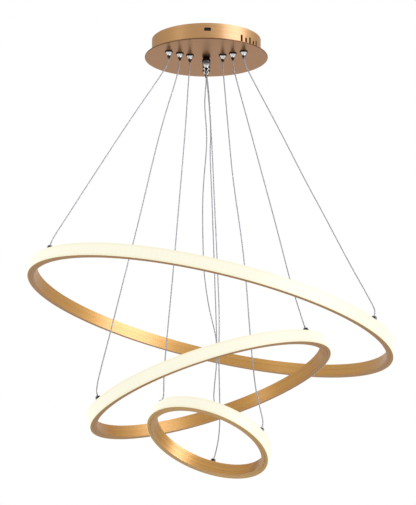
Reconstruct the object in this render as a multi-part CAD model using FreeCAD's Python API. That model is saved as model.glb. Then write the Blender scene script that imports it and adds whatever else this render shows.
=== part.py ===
import FreeCAD, Part
import math
import os

# Three-ring hanging light, millimetres, +Z up.  The origin is the middle of the ceiling bracket's
# top face, on the ceiling.  Three leaning rings hang from a flat round canopy, each on three cords
# that pass through grippers in the canopy's bottom plate, so each ring's height and lean can be set.

Vector = FreeCAD.Vector
UP = Vector(0, 0, 1)

# --- canopy: drum, bottom plate, bracket -------------------------------------------------------
DRUM_RADIUS = 90.0
DRUM_WALL = 1.2
DRUM_HEIGHT = 28.5
TAB_WIDTH = 12.0
TAB_LENGTH = 9.6
TAB_ANGLES = (-90.0, 30.0, 150.0)
TAB_STUD_INSET = 5.2            # from the drum's inner wall to the tab's stud
SIDE_SLOT_ANGLE = -88.7
SIDE_SLOT_LENGTH = 11.2
SIDE_SLOT_HEIGHT = 5.6
SIDE_SLOT_BELOW_RIM = 10.6
SIDE_SLOT_CORNER = 2.0
VENT_FIRST_ANGLE = -50.6
VENT_STEP_ANGLE = 6.3
VENT_COUNT = 5
VENT_WIDTH = 4.1
VENT_BOTTOM = 3.6               # above the plate's top face
VENT_TALL = 11.8
VENT_SHORT = 8.8
VENT_CORNER = 1.4
WALL_CUT_MARGIN = 2.0           # how far a cutter passes the wall on each side
SCREEN_THICKNESS = 0.8          # dark dust screen inside the wall, behind the slot and the vents
SCREEN_GAP = 0.05
SCREEN_ANGLES = (-100.0, -12.0)
SCREEN_BOTTOM = 2.0             # above the plate's top face
SCREEN_TOP = 24.0
PLATE_RADIUS = 101.5
PLATE_THICKNESS = 2.0
PLATE_EDGE_ROUND = 0.7
BRACKET_LENGTH = 150.0
BRACKET_WIDTH = 22.0
BRACKET_THICKNESS = 2.0
BRACKET_CORNER = 5.5
BRACKET_SLOT_SPACING = 90.0
BRACKET_SLOT_LENGTH = 26.0
BRACKET_SLOT_RADIUS = 2.6
EARTH_HOLE_RADIUS = 2.1
EARTH_HOLE_OFFSET = 19.0

# --- threaded pieces ----------------------------------------------------------------------------
FIT_GAP = 0.1                   # radial gap of a screw or shank in its hole
CENTRE_STUD_RADIUS = 3.0
CENTRE_STUD_TOP_GAP = 0.3       # below the ceiling
CENTRE_STUD_END_GAP = 1.0       # above the end of the ball nut's thread
CENTRE_NUT_FLATS = 10.0
CENTRE_NUT_THICKNESS = 5.0
BALL_RADIUS = 7.0
BALL_CENTRE_DROP = 4.8          # below the plate's bottom face
BALL_THREAD_DEPTH = 8.0
WELD_STUD_RADIUS = 1.5
WELD_STUD_HEIGHT = 6.5
SMALL_NUT_FLATS = 5.5
SMALL_NUT_THICKNESS = 2.4

# --- drivers and terminal block inside the canopy ------------------------------------------------
DRIVER_LENGTH = 70.0
DRIVER_DEPTH = 29.0
DRIVER_HEIGHT = 20.0
DRIVER_CORNER = 3.0
DRIVER_EAR_LENGTH = 8.0
DRIVER_EAR_WIDTH = 12.0
DRIVER_EAR_THICKNESS = 2.0
DRIVER_EAR_CORNER = 0.9
DRIVER_OVERLAP = 2.0            # how far an ear or a boss runs into the case
DRIVER_INSET = 30.0             # from the drum's outside to the driver's middle
DRIVER_MIDDLE_RADIUS = DRUM_RADIUS - DRIVER_INSET
DRIVER_ANGLES = {"led_driver_left": 150.0, "led_driver_right": 30.0}
LEAD_BOSS_RADIUS = 3.2
LEAD_BOSS_LENGTH = 4.0
LEAD_BOSS_HEIGHT = 12.0
TERMINAL_POLES = 3
TERMINAL_PITCH = 10.0
TERMINAL_DEPTH = 17.0
TERMINAL_CORNER = 1.0
TERMINAL_BASE_HEIGHT = 9.0
TERMINAL_TOWER_RADIUS = 3.6
TERMINAL_TOWER_HEIGHT = 5.0
TERMINAL_WIRE_RADIUS = 1.7
TERMINAL_WIRE_HEIGHT = 4.5
TERMINAL_SCREW_RADIUS = 1.8
TERMINAL_SCREW_DEPTH = 7.0
TERMINAL_INSET = 32.0           # from the drum's outside to the block's middle
TERMINAL_MIDDLE_RADIUS = DRUM_RADIUS - TERMINAL_INSET
TERMINAL_ANGLE = -90.0

# --- cord grippers -------------------------------------------------------------------------------
ARM_ANGLES = {"left": -150.0, "right": -30.0, "far": 90.0}
SHANK_RADIUS = 4.0
SHANK_LENGTH = 10.0             # above the plate's bottom face
GRIPPER_FLANGE_RADIUS = 6.4
GRIPPER_FLANGE_THICKNESS = 1.2
GRIPPER_SHOULDER_RADIUS = 5.5
GRIPPER_WAIST = (3.35, 5.2)     # radius, and depth below the plate's bottom face
GRIPPER_TIP_RADIUS = 2.75
GRIPPER_DEPTH = 9.0
GRIPPER_NUT_FLATS = 12.0
GRIPPER_NUT_THICKNESS = 4.0
CHAMBER_RADIUS = 2.3
CHAMBER_TOP = 3.0               # below the plate's bottom face
CHAMBER_BOTTOM = 7.0
PLUNGER_RADIUS = 1.75
PLUNGER_BORE_RADIUS = 1.3
PLUNGER_PROUD = 3.0
PLUNGER_COLLAR_THICKNESS = 1.3
PLUNGER_SEAT_GAP = 0.05

# --- rings ---------------------------------------------------------------------------------------
RING_HEIGHT = 20.0
CHANNEL_DEPTH = 10.5
CHANNEL_WALL = 1.5
GROOVE_WIDTH = 0.9
GROOVE_DEPTH = 0.45
DIFFUSER_PROUD = 0.8
DIFFUSER_EDGE_ROUND = 0.6
DIFFUSER_WALL = 1.5
DIFFUSER_LEG_DEPTH = 1.3
DIFFUSER_LEG_THICKNESS = 1.0
DIFFUSER_GAP = 0.05
LED_STRIP_HEIGHT = 8.0
LED_STRIP_THICKNESS = 1.0
STRIP_GAP = 0.05

# radius of the aluminium ring; gripper distance from the canopy's axis; centre; slope of the ring's
# axis towards +X and +Y in degrees; turn of the three hangers about the ring's axis in degrees
RINGS = {
    "large": {"radius": 300.0, "gripper_radius": 70.5, "centre": (7.0, 7.0, -458.5),
              "slope_x": 13.4, "slope_y": 3.9, "turn": -2.0},
    "middle": {"radius": 200.0, "gripper_radius": 50.0, "centre": (5.0, 2.0, -575.5),
               "slope_x": -18.6, "slope_y": 6.8, "turn": -2.5},
    "small": {"radius": 100.0, "gripper_radius": 31.0, "centre": (4.6, -9.0, -659.5),
              "slope_x": 21.1, "slope_y": 25.0, "turn": -9.0},
}

# --- hangers on the rings ------------------------------------------------------------------------
HANGER_RADIUS = 4.5
HANGER_HEIGHT = 6.5
HANGER_SIDE_HEIGHT = 3.4
HANGER_DOME = (4.0, 5.4)        # radius and height of a point on the dome
HANGER_CROWN_RADIUS = 2.7
HANGER_LIP_THICKNESS = 0.8
HANGER_MOUTH_RADIUS = 1.95
HANGER_SOCKET_RADIUS = 2.4
HANGER_FLOOR = 1.0
HANGER_SHANK_RADIUS = 1.75
HANGER_SHANK_END = 0.8          # past the nut
HANGER_NUT_FLATS = 6.0
HANGER_NUT_THICKNESS = 2.4
FERRULE_BALL_RADIUS = 2.1
FERRULE_BALL_HEIGHT = 3.4       # ball centre above the ring's top face
FERRULE_NECK_RADIUS = 1.5
FERRULE_NECK_TOP = 9.0          # above the ring's top face

# --- cords ---------------------------------------------------------------------------------------
CORD_RADIUS = 1.0
CORD_DROP = 5.5                 # straight below the plunger before the first bend
CORD_RISE = 6.5                 # straight above the ferrule before the last bend
BEND_SHARE = 0.45
# Points that each cord passes on its way down from its gripper to its hanger.
CORD_ROUTES = {
    "large_cord_left": [(-71, -41, -69), (-121, -66, -153), (-179, -96, -257), (-224, -120, -339)],
    "large_cord_right": [(70, -42, -70), (118, -69, -174), (156, -91, -261), (184, -105, -320),
                         (218, -123, -395), (247, -139, -455)],
    "middle_cord_left": [(-48, -27, -72), (-75, -38, -166), (-107, -54, -318), (-123, -62, -386),
                         (-149, -74, -500), (-164, -80, -562)],
    "middle_cord_right": [(48, -28, -72), (71, -46, -167), (92, -60, -254), (114, -74, -345),
                          (131, -87, -422)],
    "small_cord_left": [(-29, -17, -74), (-34, -19, -160), (-46, -24, -310), (-52, -26, -388),
                        (-62, -29, -500), (-67, -31, -564)],
    "small_cord_right": [(29, -18, -74), (36, -24, -162), (43, -29, -246), (57, -36, -345),
                         (64, -42, -420), (69, -47, -500), (76, -51, -582), (84, -54, -618)],
    "large_cord_far_upper": [(-2, 81, -66), (-3, 95, -86), (1, 117, -125), (0, 133, -156),
                             (-4, 153, -192), (-7, 180, -240), (-6, 206, -287)],
    "large_cord_far_lower": [(-5, 232, -334), (-1, 250, -367), (5, 270, -402), (13, 288, -430)],
    "middle_cord_far_upper": [(3, 54, -70), (8, 75, -134), (6, 86, -172), (9, 101, -228),
                              (11, 117, -284)],
    "middle_cord_far_lower": [(13, 133, -340), (17, 163, -451), (18, 178, -506), (14, 191, -545)],
    "small_cord_far_upper": [(4, 33, -72), (8, 40, -144), (11, 45, -200), (13, 49, -251),
                             (15.5, 53.5, -304)],
    "small_cord_far_lower": [(18, 58, -357), (22, 66, -462), (20, 70, -511), (22, 77, -585),
                             (22, 83, -640)],
}

PLATE_TOP = -DRUM_HEIGHT
PLATE_BOTTOM = PLATE_TOP - PLATE_THICKNESS


def polar(radius, degrees, height=0.0):
    """A point by its distance from the Z axis, its angle and its height."""
    angle = math.radians(degrees)
    return Vector(radius * math.cos(angle), radius * math.sin(angle), height)


def outline(start, steps):
    """Closed face in the XZ plane. A step is (r, z), or ((r, z), (r, z)) for an arc and its end."""
    edges = []
    here = Vector(start[0], 0, start[1])
    for step in list(steps) + [start]:
        if isinstance(step[0], tuple):
            through = Vector(step[0][0], 0, step[0][1])
            there = Vector(step[1][0], 0, step[1][1])
            edges.append(Part.Arc(here, through, there).toShape())
        else:
            there = Vector(step[0], 0, step[1])
            edges.append(Part.LineSegment(here, there).toShape())
        here = there
    return Part.Face(Part.Wire(edges))


def turned(start, steps):
    """Solid of revolution of an outline about the Z axis."""
    return outline(start, steps).revolve(Vector(0, 0, 0), UP, 360)


def hexagon_nut(flats, thickness, hole_radius):
    """Hexagon nut standing on z = 0, its corners turned down a little."""
    corner_radius = flats / math.sqrt(3)
    corners = [polar(corner_radius, 60 * side) for side in range(7)]
    body = Part.Face(Part.makePolygon(corners)).extrude(Vector(0, 0, thickness))
    cone_rise = corner_radius - flats / 2
    cutter = turned((0, 0), [(flats / 2, 0), (corner_radius, cone_rise),
                             (corner_radius, thickness - cone_rise), (flats / 2, thickness),
                             (0, thickness)])
    return body.common(cutter).cut(Part.makeCylinder(hole_radius, thickness))


def box_about(length, depth, height):
    """Box centred on the Z axis, standing on z = 0."""
    return Part.makeBox(length, depth, height, Vector(-length / 2, -depth / 2, 0))


def rounded_bar(length, depth, height, corner):
    """Box centred on the Z axis with round upright corners."""
    block = box_about(length, depth, height)
    upright = [edge for edge in block.Edges if abs(edge.tangentAt(edge.FirstParameter).z) > 0.9]
    return block.makeFillet(corner, upright)


def slot_bar(length, radius, thickness):
    """Round-ended bar along X, centred on the Z axis, that cuts a slot."""
    half = length / 2 - radius
    bar = Part.makeBox(2 * half, 2 * radius, thickness, Vector(-half, -radius, 0))
    for side in (-half, half):
        bar = bar.fuse(Part.makeCylinder(radius, thickness, Vector(side, 0, 0)))
    return bar.removeSplitter()


def at_angle(shape, radius, degrees, height):
    """Copy of a shape moved out along X by radius, then turned about the Z axis."""
    copy = shape.copy()
    copy.translate(Vector(radius, 0, height))
    copy.rotate(Vector(0, 0, 0), UP, degrees)
    return copy


# --- canopy --------------------------------------------------------------------------------------

def driver_stud_spots():
    """Where the plate's weld studs hold the drivers' ears, as points on the plate."""
    spots = []
    reach = DRIVER_LENGTH / 2 + DRIVER_EAR_LENGTH / 2
    for degrees in DRIVER_ANGLES.values():
        for side in (-1, 1):
            spot = Vector(DRIVER_MIDDLE_RADIUS, side * reach, 0)
            spots.append(FreeCAD.Rotation(UP, degrees).multVec(spot))
    return spots


def tab_stud_spots():
    """Where the plate's weld studs hold the drum's tabs."""
    return [polar(DRUM_RADIUS - DRUM_WALL - TAB_STUD_INSET, degrees) for degrees in TAB_ANGLES]


def wall_cutter(width, height, corner, degrees, bottom):
    """Bar with round corners that cuts an upright opening through the drum's wall."""
    bar = box_about(DRUM_WALL + 2 * WALL_CUT_MARGIN, width, height)
    along = [edge for edge in bar.Edges if abs(edge.tangentAt(edge.FirstParameter).x) > 0.9]
    return at_angle(bar.makeFillet(corner, along), DRUM_RADIUS - DRUM_WALL / 2, degrees, bottom)


def canopy_drum():
    """Round wall against the ceiling, with a side slot, a row of vents and three inner tabs."""
    inner = DRUM_RADIUS - DRUM_WALL
    drum = turned((inner, PLATE_TOP), [(DRUM_RADIUS, PLATE_TOP), (DRUM_RADIUS, 0), (inner, 0)])
    ring_inside = Part.makeCylinder(inner + DRUM_WALL / 2, DRUM_WALL, Vector(0, 0, PLATE_TOP))
    for degrees in TAB_ANGLES:
        tab = box_about(TAB_LENGTH + DRUM_WALL, TAB_WIDTH, DRUM_WALL)
        tab = at_angle(tab, inner - (TAB_LENGTH - DRUM_WALL) / 2, degrees, PLATE_TOP)
        drum = drum.fuse(tab.common(ring_inside))
    for spot in tab_stud_spots():
        hole = Part.makeCylinder(WELD_STUD_RADIUS + FIT_GAP, DRUM_WALL, spot + UP * PLATE_TOP)
        drum = drum.cut(hole)
    slot_bottom = -SIDE_SLOT_BELOW_RIM - SIDE_SLOT_HEIGHT / 2
    drum = drum.cut(wall_cutter(SIDE_SLOT_LENGTH, SIDE_SLOT_HEIGHT, SIDE_SLOT_CORNER,
                                SIDE_SLOT_ANGLE, slot_bottom))
    for vent in range(VENT_COUNT):
        height = VENT_TALL if vent % 2 == 0 else VENT_SHORT
        degrees = VENT_FIRST_ANGLE + vent * VENT_STEP_ANGLE
        drum = drum.cut(wall_cutter(VENT_WIDTH, height, VENT_CORNER, degrees,
                                    PLATE_TOP + VENT_BOTTOM))
    return drum.removeSplitter()


def dust_screen():
    """Thin dark strip bent round inside the drum's wall, behind the side slot and the vents."""
    outer = DRUM_RADIUS - DRUM_WALL - SCREEN_GAP
    inner = outer - SCREEN_THICKNESS
    bottom, top = PLATE_TOP + SCREEN_BOTTOM, PLATE_TOP + SCREEN_TOP
    first, last = SCREEN_ANGLES
    section = outline((inner, bottom), [(outer, bottom), (outer, top), (inner, top)])
    section.rotate(Vector(0, 0, 0), UP, first)
    return section.revolve(Vector(0, 0, 0), UP, last - first)


def canopy_plate():
    """Wide bottom disc with a soft edge, gripper holes and weld studs on its hidden upper face."""
    soft = PLATE_EDGE_ROUND
    slant = soft * (1 - math.sqrt(0.5))
    plate = turned((0, PLATE_BOTTOM), [
        (PLATE_RADIUS - soft, PLATE_BOTTOM),
        ((PLATE_RADIUS - slant, PLATE_BOTTOM + slant), (PLATE_RADIUS, PLATE_BOTTOM + soft)),
        (PLATE_RADIUS, PLATE_TOP - soft),
        ((PLATE_RADIUS - slant, PLATE_TOP - slant), (PLATE_RADIUS - soft, PLATE_TOP)),
        (0, PLATE_TOP)])
    holes = [Part.makeCylinder(CENTRE_STUD_RADIUS + FIT_GAP, PLATE_THICKNESS,
                               Vector(0, 0, PLATE_BOTTOM))]
    for ring in RINGS.values():
        for degrees in ARM_ANGLES.values():
            spot = polar(ring["gripper_radius"], degrees, PLATE_BOTTOM)
            holes.append(Part.makeCylinder(SHANK_RADIUS + FIT_GAP, PLATE_THICKNESS, spot))
    plate = plate.cut(Part.makeCompound(holes))
    for spot in driver_stud_spots() + tab_stud_spots():
        plate = plate.fuse(Part.makeCylinder(WELD_STUD_RADIUS, WELD_STUD_HEIGHT,
                                             spot + UP * PLATE_TOP))
    return plate.removeSplitter()


def plate_nuts():
    """Nuts on the weld studs: four hold the drivers' ears and three hold the drum's tabs."""
    nut = hexagon_nut(SMALL_NUT_FLATS, SMALL_NUT_THICKNESS, WELD_STUD_RADIUS + FIT_GAP)
    nuts = []
    for spots, seat in ((driver_stud_spots(), DRIVER_EAR_THICKNESS), (tab_stud_spots(), DRUM_WALL)):
        for spot in spots:
            copy = nut.copy()
            copy.translate(spot + UP * (PLATE_TOP + seat))
            nuts.append(copy)
    return Part.makeCompound(nuts)


def ceiling_bracket():
    """Flat bar on the ceiling with two screw slots, an earth hole and the stud's tapped hole."""
    bar = rounded_bar(BRACKET_LENGTH, BRACKET_WIDTH, BRACKET_THICKNESS, BRACKET_CORNER)
    for side in (-0.5, 0.5):
        slot = slot_bar(BRACKET_SLOT_LENGTH, BRACKET_SLOT_RADIUS, BRACKET_THICKNESS)
        slot.translate(Vector(side * BRACKET_SLOT_SPACING, 0, 0))
        bar = bar.cut(slot)
    bar = bar.cut(Part.makeCylinder(CENTRE_STUD_RADIUS + FIT_GAP, BRACKET_THICKNESS))
    bar = bar.cut(Part.makeCylinder(EARTH_HOLE_RADIUS, BRACKET_THICKNESS,
                                    Vector(EARTH_HOLE_OFFSET, 0, 0)))
    bar.translate(UP * -BRACKET_THICKNESS)
    return bar


def centre_stud():
    """Threaded rod from the bracket down into the ball nut."""
    top = -CENTRE_STUD_TOP_GAP
    bottom = PLATE_BOTTOM - BALL_THREAD_DEPTH + CENTRE_STUD_END_GAP
    chamfer = CENTRE_STUD_RADIUS * 0.2
    return turned((0, bottom), [(CENTRE_STUD_RADIUS - chamfer, bottom),
                                (CENTRE_STUD_RADIUS, bottom + chamfer),
                                (CENTRE_STUD_RADIUS, top - chamfer),
                                (CENTRE_STUD_RADIUS - chamfer, top), (0, top)])


def bracket_nut():
    """Nut that locks the centre stud under the bracket."""
    nut = hexagon_nut(CENTRE_NUT_FLATS, CENTRE_NUT_THICKNESS, CENTRE_STUD_RADIUS + FIT_GAP)
    nut.translate(UP * (-BRACKET_THICKNESS - CENTRE_NUT_THICKNESS))
    return nut


def ball_nut():
    """Ball-shaped cap nut with a flat seat that clamps the plate up to the bracket."""
    centre = PLATE_BOTTOM - BALL_CENTRE_DROP
    seat_radius = math.sqrt(BALL_RADIUS ** 2 - BALL_CENTRE_DROP ** 2)
    bore = CENTRE_STUD_RADIUS + FIT_GAP
    return turned((bore, PLATE_BOTTOM), [
        (bore, PLATE_BOTTOM - BALL_THREAD_DEPTH), (0, PLATE_BOTTOM - BALL_THREAD_DEPTH),
        (0, centre - BALL_RADIUS), ((BALL_RADIUS, centre), (seat_radius, PLATE_BOTTOM))])


def led_driver(degrees):
    """Driver case with an ear and a lead boss at each end."""
    case = rounded_bar(DRIVER_LENGTH, DRIVER_DEPTH, DRIVER_HEIGHT, DRIVER_CORNER)
    top_edges = [edge for edge in case.Edges if edge.BoundBox.ZMin > DRIVER_HEIGHT - 0.01]
    case = case.makeFillet(DRIVER_CORNER / 2, top_edges)
    reach = DRIVER_LENGTH / 2 + DRIVER_EAR_LENGTH / 2
    for side in (-1, 1):
        ear = rounded_bar(DRIVER_EAR_LENGTH + DRIVER_OVERLAP, DRIVER_EAR_WIDTH,
                          DRIVER_EAR_THICKNESS, DRIVER_EAR_CORNER)
        ear.translate(Vector(side * (reach - DRIVER_OVERLAP / 2), 0, 0))
        case = case.fuse(ear)
        case = case.cut(Part.makeCylinder(WELD_STUD_RADIUS + FIT_GAP, DRIVER_EAR_THICKNESS,
                                          Vector(side * reach, 0, 0)))
        root = side * (DRIVER_LENGTH / 2 - DRIVER_OVERLAP)
        boss = Part.makeCylinder(LEAD_BOSS_RADIUS, LEAD_BOSS_LENGTH + DRIVER_OVERLAP,
                                 Vector(root, 0, LEAD_BOSS_HEIGHT), Vector(side, 0, 0))
        case = case.fuse(boss)
    case.rotate(Vector(0, 0, 0), UP, 90)
    return at_angle(case, DRIVER_MIDDLE_RADIUS, degrees, PLATE_TOP)


def terminal_block():
    """Screw terminal strip: a base with a tower, a wire hole and a screw well for each pole."""
    length = TERMINAL_POLES * TERMINAL_PITCH
    block = rounded_bar(length, TERMINAL_DEPTH, TERMINAL_BASE_HEIGHT, TERMINAL_CORNER)
    top = TERMINAL_BASE_HEIGHT + TERMINAL_TOWER_HEIGHT
    for pole in range(TERMINAL_POLES):
        x = (pole + 0.5) * TERMINAL_PITCH - length / 2
        for side in (-1, 1):
            spot = Vector(x, side * TERMINAL_DEPTH / 4, 0)
            block = block.fuse(Part.makeCylinder(TERMINAL_TOWER_RADIUS, top, spot))
        wire_hole = Part.makeCylinder(TERMINAL_WIRE_RADIUS, TERMINAL_DEPTH,
                                      Vector(x, -TERMINAL_DEPTH / 2, TERMINAL_WIRE_HEIGHT),
                                      Vector(0, 1, 0))
        block = block.cut(wire_hole)
        for side in (-1, 1):
            well = Vector(x, side * TERMINAL_DEPTH / 4, top - TERMINAL_SCREW_DEPTH)
            block = block.cut(Part.makeCylinder(TERMINAL_SCREW_RADIUS, TERMINAL_SCREW_DEPTH, well))
    block.rotate(Vector(0, 0, 0), UP, 90)
    return at_angle(block.removeSplitter(), TERMINAL_MIDDLE_RADIUS, TERMINAL_ANGLE, PLATE_TOP)


# --- cord grippers -------------------------------------------------------------------------------

def gripper_spot(ring_name, arm):
    """Point on the plate's bottom face where a gripper's axis crosses it."""
    return polar(RINGS[ring_name]["gripper_radius"], ARM_ANGLES[arm], PLATE_BOTTOM)


def gripper_body():
    """Gripper about the Z axis: shank above z = 0, flange and trumpet-shaped nose below it."""
    chamfer = SHANK_RADIUS * 0.12
    guide = PLUNGER_RADIUS + FIT_GAP
    return turned((0, SHANK_LENGTH), [
        (SHANK_RADIUS - chamfer, SHANK_LENGTH),
        (SHANK_RADIUS, SHANK_LENGTH - chamfer),
        (SHANK_RADIUS, 0),
        (GRIPPER_FLANGE_RADIUS, 0),
        (GRIPPER_FLANGE_RADIUS, -GRIPPER_FLANGE_THICKNESS),
        (GRIPPER_SHOULDER_RADIUS, -GRIPPER_FLANGE_THICKNESS),
        ((GRIPPER_WAIST[0], -GRIPPER_WAIST[1]), (GRIPPER_TIP_RADIUS, -GRIPPER_DEPTH)),
        (guide, -GRIPPER_DEPTH),
        (guide, -CHAMBER_BOTTOM),
        (CHAMBER_RADIUS, -CHAMBER_BOTTOM),
        (CHAMBER_RADIUS, -CHAMBER_TOP),
        (0, -CHAMBER_TOP)])


def gripper_plunger():
    """Release plunger about the Z axis: pushed up into the gripper, it lets the cord run."""
    tip = -GRIPPER_DEPTH - PLUNGER_PROUD
    chamfer = (PLUNGER_RADIUS - PLUNGER_BORE_RADIUS) / 2
    collar_bottom = -CHAMBER_BOTTOM + PLUNGER_SEAT_GAP
    collar_top = collar_bottom + PLUNGER_COLLAR_THICKNESS
    collar = CHAMBER_RADIUS - FIT_GAP
    return turned((PLUNGER_BORE_RADIUS, tip), [
        (PLUNGER_RADIUS - chamfer, tip),
        (PLUNGER_RADIUS, tip + chamfer),
        (PLUNGER_RADIUS, collar_bottom),
        (collar, collar_bottom),
        (collar, collar_top),
        (PLUNGER_BORE_RADIUS, collar_top)])


def gripper_nuts():
    """Lock nuts of all nine grippers, on the plate's hidden upper face."""
    nut = hexagon_nut(GRIPPER_NUT_FLATS, GRIPPER_NUT_THICKNESS, SHANK_RADIUS + FIT_GAP)
    nuts = []
    for ring_name in RINGS:
        for arm in ARM_ANGLES:
            copy = nut.copy()
            copy.rotate(Vector(0, 0, 0), UP, ARM_ANGLES[arm])
            copy.translate(gripper_spot(ring_name, arm) + UP * PLATE_THICKNESS)
            nuts.append(copy)
    return Part.makeCompound(nuts)


# --- rings ---------------------------------------------------------------------------------------

def ring_axes(ring):
    """The ring's own X and Y directions and its axis, as unit vectors."""
    axis = Vector(math.sin(math.radians(ring["slope_x"])), math.sin(math.radians(ring["slope_y"])), 1)
    axis.normalize()
    side = Vector(0, 1, 0).cross(axis)
    side.normalize()
    return side, axis.cross(side), axis


def ring_placement(ring):
    """Placement that takes the ring from the origin to its own centre and lean."""
    side, back, axis = ring_axes(ring)
    centre = ring["centre"]
    return FreeCAD.Placement(FreeCAD.Matrix(side.x, back.x, axis.x, centre[0],
                                            side.y, back.y, axis.y, centre[1],
                                            side.z, back.z, axis.z, centre[2],
                                            0, 0, 0, 1))


def hanger_spot(ring, arm):
    """Point on the top face of the ring, in the ring's own frame, under a hanger."""
    radius = ring["radius"] - CHANNEL_DEPTH / 2
    return polar(radius, ARM_ANGLES[arm] + ring["turn"], RING_HEIGHT / 2)


def channel(ring):
    """Aluminium ring, a channel open outwards, with a fine groove along its underside."""
    outer = ring["radius"]
    inner = outer - CHANNEL_DEPTH
    half = RING_HEIGHT / 2
    floor = half - CHANNEL_WALL
    groove = (outer + inner) / 2
    body = turned((inner, -half), [
        (groove - GROOVE_WIDTH / 2, -half), (groove, -half + GROOVE_DEPTH),
        (groove + GROOVE_WIDTH / 2, -half), (outer, -half), (outer, -floor),
        (inner + CHANNEL_WALL, -floor), (inner + CHANNEL_WALL, floor),
        (outer, floor), (outer, half), (inner, half)])
    for arm in ARM_ANGLES:
        spot = hanger_spot(ring, arm) - UP * CHANNEL_WALL
        body = body.cut(Part.makeCylinder(HANGER_SHANK_RADIUS + FIT_GAP, CHANNEL_WALL, spot))
    return body


def diffuser(ring):
    """Light cover over the channel's mouth: rounded outer band with two legs between the flanges."""
    seat = ring["radius"] + DIFFUSER_GAP
    face = ring["radius"] + DIFFUSER_PROUD
    leg = ring["radius"] - DIFFUSER_LEG_DEPTH
    half = RING_HEIGHT / 2
    soft = DIFFUSER_EDGE_ROUND
    slant = soft * (1 - math.sqrt(0.5))
    leg_out = half - CHANNEL_WALL - DIFFUSER_GAP
    leg_in = leg_out - DIFFUSER_LEG_THICKNESS
    back = face - DIFFUSER_WALL
    return turned((seat, half), [
        (face - soft, half), ((face - slant, half - slant), (face, half - soft)),
        (face, -half + soft), ((face - slant, -half + slant), (face - soft, -half)),
        (seat, -half), (seat, -leg_out), (leg, -leg_out), (leg, -leg_in),
        (back, -leg_in), (back, leg_in), (leg, leg_in), (leg, leg_out), (seat, leg_out)])


def led_strip(ring):
    """Light strip round the outside of the channel's inner wall."""
    back = ring["radius"] - CHANNEL_DEPTH + CHANNEL_WALL + STRIP_GAP
    front = back + LED_STRIP_THICKNESS
    half = LED_STRIP_HEIGHT / 2
    return turned((back, -half), [(front, -half), (front, half), (back, half)])


def hanger():
    """Hanger about the Z axis, seated on z = 0: domed knob with a ball socket, shank below."""
    shank_end = -CHANNEL_WALL - HANGER_NUT_THICKNESS - HANGER_SHANK_END
    lip = HANGER_HEIGHT - HANGER_LIP_THICKNESS
    return turned((0, shank_end), [
        (HANGER_SHANK_RADIUS, shank_end), (HANGER_SHANK_RADIUS, 0), (HANGER_RADIUS, 0),
        (HANGER_RADIUS, HANGER_SIDE_HEIGHT),
        (HANGER_DOME, (HANGER_CROWN_RADIUS, HANGER_HEIGHT)),
        (HANGER_MOUTH_RADIUS, HANGER_HEIGHT), (HANGER_MOUTH_RADIUS, lip),
        (HANGER_SOCKET_RADIUS, lip), (HANGER_SOCKET_RADIUS, HANGER_FLOOR), (0, HANGER_FLOOR)])


def hangers(ring):
    """The ring's three hangers with the nuts that hold them inside the channel."""
    nut = hexagon_nut(HANGER_NUT_FLATS, HANGER_NUT_THICKNESS, HANGER_SHANK_RADIUS + FIT_GAP)
    nut.translate(UP * (-CHANNEL_WALL - HANGER_NUT_THICKNESS))
    knob = hanger()
    pieces = []
    for arm in ARM_ANGLES:
        for piece in (knob, nut):
            copy = piece.copy()
            copy.translate(hanger_spot(ring, arm))
            pieces.append(copy)
    return Part.makeCompound(pieces)


def ferrule():
    """Cord end about the Z axis, above a ring's top face at z = 0: a ball with a neck."""
    bottom = FERRULE_BALL_HEIGHT - FERRULE_BALL_RADIUS
    neck_root = FERRULE_BALL_HEIGHT + math.sqrt(FERRULE_BALL_RADIUS ** 2 - FERRULE_NECK_RADIUS ** 2)
    chamfer = FERRULE_NECK_RADIUS * 0.2
    return turned((0, bottom), [
        ((FERRULE_BALL_RADIUS, FERRULE_BALL_HEIGHT), (FERRULE_NECK_RADIUS, neck_root)),
        (FERRULE_NECK_RADIUS, FERRULE_NECK_TOP - chamfer),
        (FERRULE_NECK_RADIUS - chamfer, FERRULE_NECK_TOP), (0, FERRULE_NECK_TOP)])


def ferrules(ring, arms):
    """Ferrules of the named arms of a ring, in the ring's own frame."""
    copies = []
    for arm in arms:
        copy = ferrule()
        copy.translate(hanger_spot(ring, arm))
        copies.append(copy)
    return Part.makeCompound(copies)


# --- cords ---------------------------------------------------------------------------------------

def cord_top(ring_name, arm):
    """The cord's clamped end in the gripper, and the end of its straight drop."""
    spot = gripper_spot(ring_name, arm)
    drop_end = GRIPPER_DEPTH + PLUNGER_PROUD + CORD_DROP
    return [spot - UP * CHAMBER_TOP, spot - UP * drop_end]


def cord_bottom(ring_name, arm):
    """The end of the cord's bend above the ring, and its end on the ferrule."""
    ring = RINGS[ring_name]
    place = ring_placement(ring)
    axis = ring_axes(ring)[2]
    end = place.multVec(hanger_spot(ring, arm) + UP * FERRULE_NECK_TOP)
    return [end + axis * CORD_RISE, end]


def cord_points(node):
    """All corner points of one cord's tube, from top to bottom."""
    ring_name, _, arm = node.split("_")[:3]
    points = [Vector(*point) for point in CORD_ROUTES[node]]
    if node.endswith("_lower"):
        split = Vector(*CORD_ROUTES[node.replace("_lower", "_upper")][-1])
        return [split] + points + cord_bottom(ring_name, arm)
    if node.endswith("_upper"):
        return cord_top(ring_name, arm) + points
    return cord_top(ring_name, arm) + points + cord_bottom(ring_name, arm)


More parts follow.
